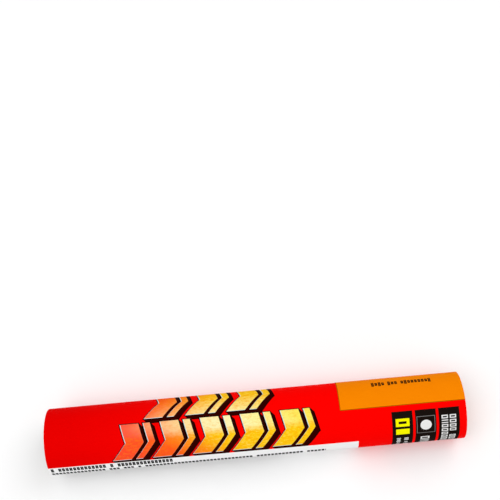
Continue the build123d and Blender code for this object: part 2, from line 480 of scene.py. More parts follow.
def arrow_sides(along, around, row):
    """The distance to what the row's arrows sweep as they slide right and down by the depth of their sides.
    A point is in it if, for some share of the slide, it lies in the upper or the lower half of an arrow."""
    down = around - row["middle"]
    half = ROW_HEIGHT / 2
    swept = None
    for side in (-1, 1):
        first = ((down - max(side, 0) * half) / SHADOW_DOWN).most(0)
        last = ((down - min(side, 0) * half) / SHADOW_DOWN).least(1)
        reach = SHADOW_RIGHT + SHADOW_DOWN * (ROW_SLANT + side * ARROW_POINT)
        front = arrow_front(along, down, row, side)
        nearest = front - first * reach
        farthest = front - last * reach
        cell = ((nearest + SHADOW_MARGIN) / arrow_pitch(row)).floor() * arrow_pitch(row)
        bands = [(low - (nearest - cell)).most((farthest - cell) - high) for low, high in ARROW_BANDS]
        whole = (0 - nearest).most(farthest - row["length"])
        shape = bands[0].least(bands[1]).most(whole) * SHADOW_STEEP
        shape = shape.most((first - last) * SHADOW_DOWN)
        swept = shape if swept is None else swept.least(shape)
    return swept


def arrow_colours(along, around, grain, specks):
    """Red to yellow towards the fuse end, under a pale glow between the rows, with worn ink."""
    down = around - HUE_LINE
    place = along - (down * HUE_LAG_BELOW).most(down * -HUE_LAG_ABOVE) + (grain - 0.5) * HUE_WANDER
    hue = ((place - HUE_START) / HUE_LENGTH).clamped()
    deep = ramp(hue, ARROW_DEEP)
    pale = ramp(hue, ARROW_PALE)
    light_ink = ((PALE_SPECKS - specks) * SPECK_STEEP).clamped() * PALE_SPECK_INK
    dark_ink = ((specks - DARK_SPECKS) * SPECK_STEEP).clamped() * DARK_SPECK_INK
    deep = painted(dark_ink, painted(light_ink, deep, pale), linear(246, 132, 24))
    below = 1 - ((around - GLOW_EDGE) / GLOW_FADE_BELOW).clamped()
    above = (around / GLOW_FADE_ABOVE + 1).clamped()
    worn = ((specks - PALE_SPECKS) * WEAR_STEEP).clamped() * GLOW_WEAR
    glow = (below * above - worn).clamped().power(GLOW_POWER)
    return painted(glow, deep, pale)


def print_arrows(along, around, ground, row, grain, specks):
    """One row of arrow blocks over the ground: dark sides, black outline, pale rim and coloured face."""
    face = arrows(along, around, row)
    sides = arrow_sides(along, around, row)
    colour = painted(inked(sides, OUTLINE), ground, linear(10, 2, 0))
    colour = painted(inked(sides, SHADOW_INSET), colour, linear(46, 2, 0))
    colour = painted(inked(face, OUTLINE), colour, linear(8, 6, 6))
    colour = painted(inked(face), colour, linear(214, 226, 226))
    inner = face.most(arrows(along - RIM_RIGHT, around + RIM_UP, row))
    return painted(inked(inner), colour, arrow_colours(along, around, grain, specks))


def marks(run, line, start, end, middle, height, pitch, seed, weight=0.09, capitals=False, gaps=0.11):
    """A mask of plain marks along a line, which stand for a line of print: hollow boxes and pairs of bars.
    Unless they are capitals, the boxes are lower than the bars. gaps is the share of marks left out."""
    count = (run - start) / pitch
    cell = count.floor()
    spot = (count - cell - 0.5) * pitch
    level = line - middle
    gap, style = chances(cell, seed)
    thin = height * weight
    wide = spot.size() - pitch * MARK_HALF_WIDTH
    tall = level.size() - height / 2
    low = tall if capitals else level.size() - height * MARK_HALF_LOW
    hollow = (wide.most(low) + thin).size() - thin
    bars = ((wide + thin).size() - thin).most(tall)
    boxed = style.above(MARK_BARS_SHARE)
    shape = hollow * boxed + bars * (1 - boxed)
    return inked(shape.most(between(run, start, end))) * gap.above(gaps)


def print_panel(along, around, colour):
    """The white panel along the lower side, with its lines of small print as plain blocks."""
    panel = rectangle(along, around - along * PANEL_SKEW, *WHITE_PANEL)
    colour = painted(inked(panel), colour, linear(244, 244, 244))
    for line in PANEL_LINES:
        colour = painted(marks(along, around, **line), colour, linear(10, 10, 12))
    return colour


def print_tabs(along, around, colour):
    """Three black tabs that run down from beside the label: plain signs on the first two, and small print."""
    white = linear(232, 232, 230)
    for low, high in TAB_SPANS:
        slanting = around + (along - high) * TAB_END_SLANT
        shape = between(along, low, high).most(TAB_TOP - around).most(slanting - (TAB_TOP + TAB_LENGTH))
        colour = painted(inked(shape), colour, linear(24, 17, 13))
    across = [along - (low + high) / 2 for low, high in TAB_SPANS]
    box = rectangle(across[0], around, *SIGN_BOX).size() - SIGN_STROKE
    sign = box.least(rectangle(across[0], around, *SIGN_BLOCK))
    colour = painted(inked(sign), colour, linear(250, 246, 0))
    frame_line = rectangle(across[1], around, *SIGN_FRAME).size() - FRAME_STROKE
    colour = painted(inked(frame_line), colour, linear(120, 118, 116))
    colour = painted(inked(disc(across[1], around, DISC_MIDDLE, DISC_RADIUS)), colour, white)
    for tab, line in TAB_LINES:
        colour = painted(marks(around, across[tab], **line), colour, white)
    return colour


def unrolled(finish):
    """Along and around, in millimetres, of a point on the paper."""
    x, y, height = finish.parts()
    angle = x.math("ARCTAN2", y * -1, height)
    return x, angle * (TUBE_RADIUS / MM)


PAPER_GLOSS = 0.003
PAPER_TONE = (0.95, 0.95, 0.95)
GROUND_START = -95.0
GROUND_FADE = 85.0
GROUND_MOTTLE = 0.16
LABEL_EDGE_LINE = 0.3


def paper_grain(finish, depth):
    """The faint fibre relief and uneven gloss of coated paper."""
    fibres = finish.noise(2600.0, 4.0, 0.6)
    waves = finish.noise(90.0, 2.0, along=0.35)
    finish.bump(fibres * 0.35 + waves * 0.65, depth)
    finish.set("Roughness", fibres * 0.12 + waves * 0.1 + 0.4)


def printed_paper():
    """Coated paper with the flare's layout printed on it."""
    finish = Finish("printed_paper", 0.5, PAPER_GLOSS)
    along, around = unrolled(finish)
    grain = finish.noise(300.0, 5.0, 0.7)
    specks = finish.noise(1100.0, 6.0, 0.8, along=0.45)
    mottle = finish.noise(60.0, 2.0)
    brighter = ((along - GROUND_START) / GROUND_FADE + (mottle - 0.5) * GROUND_MOTTLE).clamped()
    colour = painted(brighter, linear(229, 0, 0), linear(252, 2, 0))
    for row in ARROW_ROWS:
        colour = print_arrows(along, around, colour, row, grain, specks)
    colour = print_panel(along, around, colour)
    colour = print_tabs(along, around, colour)
    finish.set("Base Color", stretched(finish.tree, colour, PAPER_TONE))
    paper_grain(finish, 0.02 * MM)
    return finish.material


def label_paper():
    """The orange label: plain, with a thin darker line along its left end and front edge, and one line of
    small print as blocks.
    """
    finish = Finish("label_paper", 0.5, PAPER_GLOSS)
    along, around = unrolled(finish)
    mottle = finish.noise(110.0, 3.0)
    colour = painted(mottle, linear(243, 130, 0), linear(247, 135, 2))
    # A thin darker orange line along the label's left end and front edge.
    edge = (radians(LABEL_FRONT) * TUBE_RADIUS / MM - around).least(along - LABEL_START / MM)
    colour = painted(inked(edge, LABEL_EDGE_LINE), colour, linear(150, 92, 0))
    for start, end in LABEL_WORDS:
        word = marks(along, around, start=start, end=end, seed=LABEL_SEED + start, **LABEL_PRINT)
        colour = painted(word, colour, linear(22, 14, 6))
    finish.set("Base Color", stretched(finish.tree, colour, PAPER_TONE))
    paper_grain(finish, 0.02 * MM)
    return finish.material


# ---- Other materials ------------


def mottled(name, dark, light, scale, roughness, depth, specular=0.3):
    """A plain material with colour, gloss and relief that vary over it."""
    finish = Finish(name, roughness, specular)
    coarse = finish.noise(scale, 5.0, 0.65)
    fine = finish.noise(scale * 6, 3.0, 0.6)
    mix = coarse * 1.6 - 0.3 + (fine - 0.5) * 0.4
    finish.set("Base Color", painted(mix, linear(*dark), linear(*light)))
    finish.set("Roughness", fine * 0.16 + (roughness - 0.08))
    finish.bump(coarse * 0.5 + fine * 0.5, depth)
    return finish.material


def kraft_board(name, dark, light):
    """Rolled kraft: fibres that run round the tube, and specks."""
    finish = Finish(name, 0.85, 0.15)
    x, y, height = finish.parts()
    angle = x.math("ARCTAN2", y, height)
    radius = (y * y + height * height).power(0.5)
    mix = finish.tree.nodes.new("ShaderNodeCombineXYZ")
    for socket, part in zip(mix.inputs, (x * 1.6, angle * 3.0, radius * 7.0)):
        connect(finish.tree, part, socket)
    fibres = noise_of(finish.tree, mix.outputs[0], 1.0, 6.0, 0.7)
    specks = finish.noise(1800.0, 3.0, 0.7)
    colour = painted((fibres * 1.8 - 0.4).clamped(), linear(*dark), linear(*light))
    colour = painted(((specks - 0.66) * 5.0).clamped(), colour, linear(70, 48, 30))
    finish.set("Base Color", colour)
    finish.bump(fibres * 0.6 + specks * 0.4, 0.05 * MM)
    return finish.material


def moulded_plastic(name, dark, light, roughness):
    """Injection-moulded polyethylene: satin, with a fine spark-eroded grain and faint flow marks."""
    finish = Finish(name, roughness, 0.45)
    grain = finish.noise(3200.0, 2.0, 0.5)
    flow = finish.noise(130.0, 3.0, 0.6)
    finish.set("Base Color", painted(flow, linear(*dark), linear(*light)))
    finish.set("Roughness", flow * 0.12 + grain * 0.1 + (roughness - 0.1))
    finish.bump(grain, 0.015 * MM)
    finish.shader.inputs["Subsurface Weight"].default_value = 0.06
    finish.shader.inputs["Subsurface Radius"].default_value = (0.0008, 0.0004, 0.0003)
    return finish.material


def fuse_thread():
    """Green lacquered thread, paler in patches where the lacquer is thin."""
    finish = Finish("fuse_thread", 0.5, 0.4)
    worn = finish.noise(900.0, 4.0, 0.7)
    fibres = finish.noise(6000.0, 3.0, 0.6)
    colour = painted((worn * 2.0 - 0.5).clamped(), linear(16, 84, 40), linear(44, 138, 66))
    colour = painted(((fibres - 0.62) * 4.0).clamped(), colour, linear(150, 176, 120))
    finish.set("Base Color", colour)
    finish.set("Roughness", worn * 0.3 + 0.35)
    finish.bump(fibres, 0.03 * MM)
    return finish.material


# ---- Meshes ------------

SHARP_ANGLE = radians(32)
SAME_PLACE = 1e-8
PLY_SOFT = 0.06 * MM
RAG_ROUND = 5
RAG_PLIES = 9000
RAG_ENDS = 40


def loose_mesh(name, vertices, faces):
    """A mesh object that isn't a piece yet, with all its faces outwards."""
    mesh = bpy.data.meshes.new(name)
    mesh.from_pydata(vertices, [], faces)
    shape = bmesh.new()
    shape.from_mesh(mesh)
    bmesh.ops.recalc_face_normals(shape, faces=shape.faces[:])
    shape.to_mesh(mesh)
    shape.free()
    return in_scene(name, mesh)


def smooth(piece, materials):
    """Gives a mesh object its materials, and smooth shading between its sharp edges."""
    for material in materials:
        piece.data.materials.append(material)
    piece.data.polygons.foreach_set("use_smooth", [True] * len(piece.data.polygons))
    piece.data.set_sharp_from_angle(angle=SHARP_ANGLE)


def made_piece(piece, materials, body, replaced=()):
    """Makes a mesh object a smooth piece that rides on a body and stands for the CAD nodes in replaced."""
    smooth(piece, materials)
    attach(piece, body)
    if replaced:
        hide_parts(*replaced)
    return piece


def new_piece(name, vertices, faces, materials, body, replaced=()):
    """A smooth piece straight from its vertices and faces."""
    return made_piece(loose_mesh(name, vertices, faces), materials, body, replaced)


def block(low, high, rounding, turn=None):
    """A box with rounded edges. The turn is about the tube's axis, from the top towards -Y."""
    shape = bmesh.new()
    bmesh.ops.create_cube(shape, size=1)
    middle = (low + high) / 2
    for vertex in shape.verts:
        for part in range(3):
            vertex.co[part] = middle[part] + vertex.co[part] * (high[part] - low[part])
    bmesh.ops.bevel(
        shape, geom=shape.edges[:], offset=rounding, offset_type="OFFSET", segments=3, profile=0.5,
        affect="EDGES",
    )
    if turn:
        centre = Vector((0, 0, AXIS_HEIGHT))
        bmesh.ops.rotate(shape, verts=shape.verts[:], cent=centre, matrix=Matrix.Rotation(turn, 3, "X"))
    mesh = bpy.data.meshes.new("block")
    shape.to_mesh(mesh)
    shape.free()
    return in_scene("block", mesh)


def unite(thing, others):
    """Joins closed meshes into one, with no walls left inside, and removes the others."""
    for other in others:
        joiner = thing.modifiers.new("union", "BOOLEAN")
        joiner.operation = "UNION"
        joiner.solver = "EXACT"
        joiner.object = other
    graph = bpy.context.evaluated_depsgraph_get()
    joined = bpy.data.meshes.new_from_object(thing.evaluated_get(graph))
    thing.modifiers.clear()
    thing.data = joined
    for other in others:
        bpy.data.objects.remove(other)


def around_axis(x, radius, angle):
    """A point at a radius from the tube's axis. The angle is from the top towards -Y."""
    return Vector((x, -radius * sin(angle), AXIS_HEIGHT + radius * cos(angle)))


def rounded(corners, steps=4):
    """An outline with its corners rounded. Each is (x, radius, rounding); a rounding of 0 stays sharp."""
    outline = []
    count = len(corners)
    for index, (x, y, rounding) in enumerate(corners):
        here = Vector((x, y))
        if rounding == 0 or index in (0, count - 1):
            outline.append(here)
            continue
        before = (Vector(corners[index - 1][:2]) - here).normalized()
        after = (Vector(corners[index + 1][:2]) - here).normalized()
        opening = acos(max(-1.0, min(1.0, before.dot(after))))
        reach = rounding / tan(opening / 2)
        centre = here + (before + after).normalized() * (rounding / sin(opening / 2))
        first = here + before * reach - centre
        last = here + after * reach - centre
        turn = first.angle_signed(last)
        for step in range(steps + 1):
            outline.append(centre + Matrix.Rotation(-turn * step / steps, 2) @ first)
    return outline


def lathe(outline, segments, wobble=None):
    """Turns an outline of (x, radius) points about the tube's axis, where it closes if it reaches it."""
    vertices = []
    for x, radius in outline:
        for step in range(segments):
            angle = 2 * pi * step / segments
            dx, dr = wobble(x, radius, angle) if wobble else (0, 0)
            vertices.append(around_axis(x + dx, radius + dr, angle))
    return merged(vertices, skinned(rings_of(vertices, segments)))


def bridge(one, two):
    """The faces between two rings of as many vertices, each given by its indices."""
    faces = []
    for step in range(len(one)):
        after = (step + 1) % len(one)
        faces.append([one[step], one[after], two[after], two[step]])
    return faces


def rings_of(vertices, size):
    """The indices of vertices that were made ring by ring."""
    return [range(first, first + size) for first in range(0, len(vertices), size)]


def skinned(rings):
    """The faces between each ring and the next."""
    return [face for one, two in zip(rings, rings[1:]) for face in bridge(one, two)]


def merged(vertices, faces):
    """The same mesh with points at the same place made one."""
    places = {}
    renamed = []
    kept = []
    for vertex in vertices:
        key = tuple(round(part / SAME_PLACE) for part in vertex)
        if key not in places:
            places[key] = len(kept)
            kept.append(vertex)
        renamed.append(places[key])
    clean = []
    for face in faces:
        corners = list(dict.fromkeys(renamed[index] for index in face))
        if len(corners) > 2:
            clean.append(corners)
    return kept, clean


def rolled(inner, outer, low, high, turns, gap, steps, start, ragged=0.0, down=False):
    """A sheet rolled up into a tube, from inner to outer radius. Returns vertices, faces and the kind of each
    face: 1 on the sheet's outer side, else 0. With down, the radius grows as the angle falls."""
    pitch = (outer - inner + gap) / (turns + 1)
    depth = pitch - gap
    soft = min(depth * 0.3, PLY_SOFT)
    profile = [
        (0, soft, 0), (0, depth - soft, 0), (soft, depth, 0),
        (-soft, depth, 1), (0, depth - soft, 1), (0, soft, 1), (-soft, 0, 1), (soft, 0, 0),
    ]
    vertices = []
    for index in range(turns * steps + 1):
        angle = start + (-1 if down else 1) * 2 * pi * index / steps
        radius = inner + pitch * index / steps
        for along, out, at_high in profile:
            ply = radius * RAG_PLIES + at_high * RAG_ENDS
            drift = noise.noise(Vector((cos(angle) * RAG_ROUND, sin(angle) * RAG_ROUND, ply)))
            cut_back = ragged * (1 + drift) / 2
            x = (high - cut_back + along) if at_high else (low + cut_back + along)
            vertices.append(around_axis(x, radius + out, angle))
    size = len(profile)
    rings = rings_of(vertices, size)
    faces = skinned(rings)
    kinds = [int(index % size == 2) for index in range(len(faces))]
    return vertices, faces + [list(rings[0]), list(rings[-1])], kinds + [0, 0]


# ---- Pieces ------------

PAPER_SEAM = radians(-140)
PAPER_TURNS = 1
PAPER_GAP = 0.004 * MM
PAPER_STEPS = 240
PAPER_RAGGED = 0.03 * MM
BOARD_SEAM = radians(160)
BOARD_GAP = 0.02 * MM
BOARD_STEPS = 96
BOARD_RAGGED = 0.14 * MM
CASING_TURNS = 9
FLAME_TURNS = 10
LABEL_START, _ = span("fuse_label")
LABEL_FRONT = 8.7
LABEL_BACK = -98.0
LABEL_CORNER = 0.6 * MM
LABEL_CORNER_ROWS = (0.0, 0.05, 0.12, 0.22, 0.38, 0.6)
LABEL_ROWS = 24
LABEL_COLUMNS = 48
LABEL_SOFT = 0.03 * MM
LABEL_SUNK = 0.04 * MM


def add_paper(print_material, core_material):
    """The printed paper: one turn of it, whose outer edge comes down over its inner edge on the far side."""
    vertices, faces, kinds = rolled(
        CASING_RADIUS, TUBE_RADIUS, HANDLE_END, FUSE_END, PAPER_TURNS, PAPER_GAP, PAPER_STEPS, PAPER_SEAM,
        PAPER_RAGGED, down=True,
    )
    materials = [core_material, print_material]
    piece = new_piece("printed_paper", vertices, faces, materials, "flare", ["casing_wrap"])
    piece.data.polygons.foreach_set("material_index", kinds)


def add_label(material):
    """The label: a thin sheet bent round the tube, with small round corners and a soft cut edge."""
    columns = LABEL_COLUMNS
    length = FUSE_END - LABEL_START
    rows = [step * MM for step in LABEL_CORNER_ROWS]
    rows += [length * step / LABEL_ROWS for step in range(1, LABEL_ROWS + 1)]
    outer = TUBE_RADIUS + LABEL_DEPTH
    vertices = []
    for depth, inset in ((0.0, LABEL_SOFT), (LABEL_SOFT, 0.0), (LABEL_DEPTH + LABEL_SUNK, 0.0)):
        for row in rows:
            x = LABEL_START + max(min(row, length - inset), inset)
            cut = LABEL_CORNER - row if row < LABEL_CORNER else 0.0
            side = LABEL_CORNER - sqrt(LABEL_CORNER**2 - cut**2) + inset
            first = radians(LABEL_BACK) + side / outer
            last = radians(LABEL_FRONT) - side / outer
            for column in range(columns + 1):
                angle = first + (last - first) * column / columns
                vertices.append(around_axis(x, outer - depth, angle))
    wide = columns + 1
    layer = wide * len(rows)
    faces = []
    for row in range(len(rows) - 1):
        for column in range(columns):
            start = row * wide + column
            top = [start, start + wide, start + wide + 1, start + 1]
            faces.append(top)
            faces.append([index + 2 * layer for index in reversed(top)])
    border = [row * wide for row in range(len(rows))]
    border += [(len(rows) - 1) * wide + column for column in range(1, wide)]
    border += [row * wide + columns for row in reversed(range(len(rows) - 1))]
    border += list(range(columns - 1, 0, -1))
    faces += skinned([[index + level for index in border] for level in (0, layer, 2 * layer)])
    vertices, faces = merged(vertices, faces)
    new_piece("label_sheet", vertices, faces, [material], "flare", ["fuse_label"])


def add_rolled_tube(name, inner, outer, low, high, turns, material, node):
    """A tube rolled from board, whose plies show at its cut ends."""
    vertices, faces, _ = rolled(
        inner, outer, low, high, turns, BOARD_GAP, BOARD_STEPS, BOARD_SEAM, BOARD_RAGGED
    )
    new_piece(name, vertices, faces, [material], "flare", [node])


# ---- Cap and pull ring ------------

CAP_START, CAP_FACE = span("fuse_cap")
CAP_RADIUS = 14.92 * MM
CAP_INNER_RADIUS = 13.52 * MM
CAP_WEB = 1.6 * MM
CAP_DISH = 5.0 * MM
CAP_LEAD_IN = 0.7 * MM
CAP_LAND_DEPTH = 0.22 * MM
CAP_GROOVES = ((2.9, 6.0), (8.2, 11.3))
GATE_RADIUS = 0.6 * MM
GATE_DIMPLE = 1.9 * MM
GATE_DEPTH = 0.25 * MM
EDGE = 0.3 * MM
NICK = 0.08 * MM
MOULDED_SEGMENTS = 160

TAB_BACK, TAB_FRONT = span("pull_tab")
RING_OUTER = 8.5 * MM
RING_INNER = 6.0 * MM
RING_CENTRE = AXIS_HEIGHT - 0.9 * MM
NECK_HALF = 4.0 * MM
NECK_TOP = AXIS_HEIGHT + 8.95 * MM
RING_EDGE = 0.45 * MM
RING_STEPS = 320
RING_CORNER_STEPS = 3
RING_BLEND = 0.5 * MM
GRIP_COUNT = 5
GRIP_SPACING = radians(10)
GRIP_WIDTH = radians(4.5)
GRIP_HEIGHT = 0.3 * MM

HINGE_BLOCK_FOOT = AXIS_HEIGHT + 9.45 * MM
HINGE_BLOCK_TOP = AXIS_HEIGHT + 11.85 * MM
FILM_REACH = 0.3 * MM
FILM_THINNEST = 0.22 * MM
FILM_FLARE = 0.3 * MM
FILM_ROWS = 14


def groove_corners(start, radius, grooves, depth):
    """The corners of square grooves round a cylinder. Each groove is its two sides, in mm past start."""
    corners = []
    for low, high in grooves:
        for along, sunk in ((low, 0), (low, 1), (high, 1), (high, 0)):
            corners.append((start + along * MM, radius - sunk * depth, NICK))
    return corners


def add_cap(material):
    """The pull-out cap: a dished cup with two grooves, and the block that the pull ring hangs from."""
    web_face = CAP_FACE - CAP_DISH
    outline = [
        (web_face - CAP_WEB, 0, 0),
        (web_face - CAP_WEB, CAP_INNER_RADIUS, EDGE),
        (CAP_START, CAP_INNER_RADIUS, EDGE / 2),
        (CAP_START, CAP_RADIUS - CAP_LEAD_IN, EDGE / 2),
        (CAP_START + CAP_LEAD_IN, CAP_RADIUS, EDGE),
    ]
    outline += groove_corners(CAP_START, CAP_RADIUS, CAP_GROOVES, CAP_LAND_DEPTH)
    outline += [
        (CAP_FACE, CAP_RADIUS, EDGE),
        (CAP_FACE, CAP_INNER_RADIUS, EDGE),
        (web_face, CAP_INNER_RADIUS, EDGE * 2),
        (web_face, GATE_DIMPLE, NICK),
        (web_face - GATE_DEPTH, GATE_DIMPLE - GATE_DEPTH, NICK),
        (web_face - GATE_DEPTH, GATE_RADIUS, NICK / 2),
        (web_face - GATE_DEPTH / 3, GATE_RADIUS - NICK, NICK / 2),
        (web_face - GATE_DEPTH / 3, 0, 0),
    ]
    cap = loose_mesh("cap_shell", *lathe(rounded(outline), MOULDED_SEGMENTS))
    low = Vector((web_face - CAP_WEB / 2, -NECK_HALF, HINGE_BLOCK_FOOT))
    high = Vector((TAB_FRONT, NECK_HALF, HINGE_BLOCK_TOP))
    unite(cap, [block(low, high, EDGE / 2)])
    made_piece(cap, [material], "cap", ["fuse_cap"])


def ring_reach(angle):
    """How far the pull ring's outline is from its centre, at an angle from its neck, which is at the top."""
    across = NECK_HALF / max(abs(sin(angle)), 0.01)
    up = (NECK_TOP - RING_CENTRE) / max(cos(angle), 0.01)
    neck = min(across, up) if cos(angle) > 0 else 0
    return (RING_OUTER + neck + sqrt((RING_OUTER - neck) ** 2 + RING_BLEND**2)) / 2 - RING_BLEND / 60


def grip(angle):
    """How high a grip rib stands at an angle from straight up, from 0 to 1. The ribs are at the bottom."""
    places = [pi + (index - (GRIP_COUNT - 1) / 2) * GRIP_SPACING for index in range(GRIP_COUNT)]
    nearest = min(abs(angle - place) for place in places)
    return max(0.0, min(1.0, (GRIP_WIDTH / 2 - nearest) / (GRIP_WIDTH / 4)))


def add_pull_ring(material):
    """The pull ring: a flat ring with a neck up to its hinge, soft edges, and grip ribs low on its face."""
    corner = atan2(NECK_HALF, NECK_TOP - RING_CENTRE)
    angles = sorted([2 * pi * step / RING_STEPS for step in range(RING_STEPS)] + [corner, 2 * pi - corner])
    vertices = []
    inner_land = RING_INNER + RING_EDGE * 1.4
    outer_land = RING_OUTER - RING_EDGE * 1.4
    for angle in angles:
        reach = ring_reach(angle)
        lift = grip(angle) * GRIP_HEIGHT
        outline = [
            (TAB_BACK, RING_INNER, RING_EDGE / 2),
            (TAB_BACK, reach, RING_EDGE / 2),
            (TAB_FRONT, reach, RING_EDGE),
            (TAB_FRONT, RING_INNER, RING_EDGE),
        ]
        section = rounded([outline[-1]] + outline + [outline[0]], RING_CORNER_STEPS)[1:-1]
        before_inner_corner = len(section) - RING_CORNER_STEPS - 1
        section[before_inner_corner:before_inner_corner] = [
            Vector((TAB_FRONT, outer_land)),
            Vector((TAB_FRONT + lift, outer_land - EDGE / 2)),
            Vector((TAB_FRONT + lift, inner_land + EDGE / 2)),
            Vector((TAB_FRONT, inner_land)),
        ]
        for x, radius in section:
            vertices.append(Vector((x, -radius * sin(angle), RING_CENTRE + radius * cos(angle))))
    rings = rings_of(vertices, len(section))
    faces = skinned(rings + rings[:1])
    new_piece("pull_ring", vertices, faces, [material], "tab", ["pull_tab"])


def add_hinge_film(material):
    """The thin film between the hinge block and the pull ring's neck."""
    low = NECK_TOP - FILM_REACH
    high = HINGE_BLOCK_FOOT + FILM_REACH
    half = NECK_HALF - NICK
    front = TAB_FRONT - NICK / 2
    places = (-half, -half / 3, half / 3, half)
    vertices = []
    for row in range(FILM_ROWS + 1):
        share = row / FILM_ROWS
        back = front - FILM_THINNEST - FILM_FLARE * abs(2 * share - 1) ** 3
        height = low + (high - low) * share
        vertices += [Vector((front, y, height)) for y in places]
        vertices += [Vector((back, y, height)) for y in reversed(places)]
    rings = rings_of(vertices, 2 * len(places))
    faces = skinned(rings) + [list(rings[0]), list(rings[-1])]
    film = loose_mesh("hinge_film", vertices, faces)
    smooth(film, [material])
    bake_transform(film)


# ---- Handle plug ------------

PLUG_FACE, PLUG_END = span("handle_plug")
PLUG_RADIUS = 14.98 * MM
PLUG_INNER_RADIUS = 13.4 * MM
PLUG_DISH = 3.2 * MM
PLUG_WEB = 1.6 * MM
PLUG_LEAD_IN = 0.6 * MM
PLUG_GROOVES = ((5.0, 7.6), (9.6, 12.2))
PLUG_GROOVE_DEPTH = 0.25 * MM
HUB_RADIUS = 3.6 * MM
HUB_HEIGHT = 2.4 * MM
HUB_HOLE = 1.2 * MM
RIB_HEIGHT = 1.8 * MM
RIB_HALF = 0.65 * MM
RIB_COUNT = 6


def add_handle_plug(material):
    """The plug in the handle end: a dished cup with a gate hub, and ribs across the dish."""
    web = PLUG_FACE + PLUG_DISH
    outline = [
        (web, 0, 0),
        (web, HUB_HOLE, NICK),
        (web - HUB_HEIGHT, HUB_HOLE, NICK),
        (web - HUB_HEIGHT, HUB_RADIUS, EDGE / 2),
        (web, HUB_RADIUS, EDGE),
        (web, PLUG_INNER_RADIUS, EDGE),
        (PLUG_FACE, PLUG_INNER_RADIUS, EDGE / 2),
        (PLUG_FACE, PLUG_RADIUS, EDGE / 2),
    ]
    outline += groove_corners(PLUG_FACE, PLUG_RADIUS, PLUG_GROOVES, PLUG_GROOVE_DEPTH)
    outline += [
        (PLUG_END - PLUG_LEAD_IN, PLUG_RADIUS, EDGE / 2),
        (PLUG_END, PLUG_RADIUS - PLUG_LEAD_IN, EDGE / 2),
        (PLUG_END, PLUG_INNER_RADIUS, EDGE / 2),
        (web + PLUG_WEB, PLUG_INNER_RADIUS, EDGE),
        (web + PLUG_WEB, 0, 0),
    ]
    plug = loose_mesh("plug_shell", *lathe(rounded(outline), MOULDED_SEGMENTS))
    low = Vector((web - RIB_HEIGHT, -RIB_HALF, AXIS_HEIGHT + HUB_RADIUS - EDGE))
    high = Vector((web + EDGE, RIB_HALF, AXIS_HEIGHT + PLUG_INNER_RADIUS + EDGE))
    ribs = [block(low, high, NICK * 2, 2 * pi * index / RIB_COUNT) for index in range(RIB_COUNT)]
    unite(plug, ribs)
    made_piece(plug, [material], "flare", ["handle_plug"])


# ---- Flame tube and fuse ------------

FLAME_START, MOUTH = span("flame_tube")
BEAD_FOOT, BEAD_TOP = span("fuse_glue_bead")
BEAD_RADIUS = 3.6 * MM
BEAD_EDGE = 0.35 * MM
BEAD_RIM = 0.4 * MM
BEAD_LIP = 0.2 * MM
BEAD_STEPS = 14
BEAD_SEGMENTS = 72
LUMP_SPREAD = 1.7
LUMP_SCALE = 500
LUMP_SHARE = 0.09
LUMP_LEVEL = 0.3
CLAY_STEPS = 14
CLAY_SEGMENTS = 220
CRUMB_SCALE = 900
CRUMB_FINER = 2.7
CRUMB_LEVEL = 0.25
FUSE_BEND = 4.5 * MM
FUSE_LOOP = 11.2 * MM
FUSE_JOIN = (FUSE_LOOP**2 - FUSE_BEND**2) / (2 * FUSE_LOOP)
FUSE_SWEEP = radians(250)
FUSE_CORE = 0.6 * MM
FUSE_STEP = 0.12 * MM
FUSE_SIDES = 20
THREAD_PITCH = 0.62 * MM
THREAD_DEPTH = 0.11 * MM
CROSS_PITCH = 5.2 * MM
CROSS_DEPTH = 0.07 * MM
CROSS_EDGE = 0.86


def clay_crumbs(x, radius, angle):
    """Small uneven pits over the open face of the pressed clay, none of them proud of it."""
    if x < MOUTH - EDGE * 2:
        return 0, 0
    place = Vector((cos(angle) * radius, sin(angle) * radius, x)) * CRUMB_SCALE
    rough = noise.noise(place) * 0.6 + noise.noise(place * CRUMB_FINER) * 0.4
    return -EDGE * max(0.0, CRUMB_LEVEL + rough), 0


def add_clay_ring(material):
    """The front ring of pressed clay, smooth where its mould held it and crumbly on its open face."""
    start, _ = span("front_spacer_ring")
    inner = FLAME_OUTER_RADIUS
    face_width = BORE_RADIUS - inner - 2 * EDGE
    outline = [Vector((start, inner)), Vector((start, BORE_RADIUS)), Vector((MOUTH - EDGE, BORE_RADIUS))]
    for step in range(CLAY_STEPS + 1):
        outline.append(Vector((MOUTH, BORE_RADIUS - EDGE - face_width * step / CLAY_STEPS)))
    outline.append(Vector((MOUTH - EDGE, inner)))
    vertices, faces = lathe(outline + outline[:1], CLAY_SEGMENTS, clay_crumbs)
    new_piece("clay_ring", vertices, faces, [material], "flare", ["front_spacer_ring"])


def bead_lumps(x, radius, angle):
    """Hand-run glue: a little uneven round the bead."""
    lump = noise.noise(Vector((cos(angle) * LUMP_SPREAD, sin(angle) * LUMP_SPREAD, x * LUMP_SCALE)))
    return 0, -radius * LUMP_SHARE * max(0.0, LUMP_LEVEL + lump)


def add_glue_bead(material):
    """The bead of glue that holds the fuse in the disc. It climbs the fuse in a hollow curve."""
    outline = [Vector((BEAD_FOOT, FUSE_RADIUS)), Vector((BEAD_FOOT, BEAD_RADIUS))]
    for step in range(BEAD_STEPS + 1):
        turn = pi / 2 * step / BEAD_STEPS
        rise = (BEAD_TOP - BEAD_FOOT - BEAD_RIM) * (1 - cos(turn))
        run = (BEAD_RADIUS - FUSE_RADIUS - BEAD_LIP) * sin(turn)
        outline.append(Vector((BEAD_FOOT + BEAD_EDGE + rise, BEAD_RADIUS - run)))
    outline.append(Vector((BEAD_TOP, FUSE_RADIUS)))
    vertices, faces = lathe(outline + outline[:1], BEAD_SEGMENTS, bead_lumps)
    new_piece("glue_bead", vertices, faces, [material], "flare", ["fuse_glue_bead"])


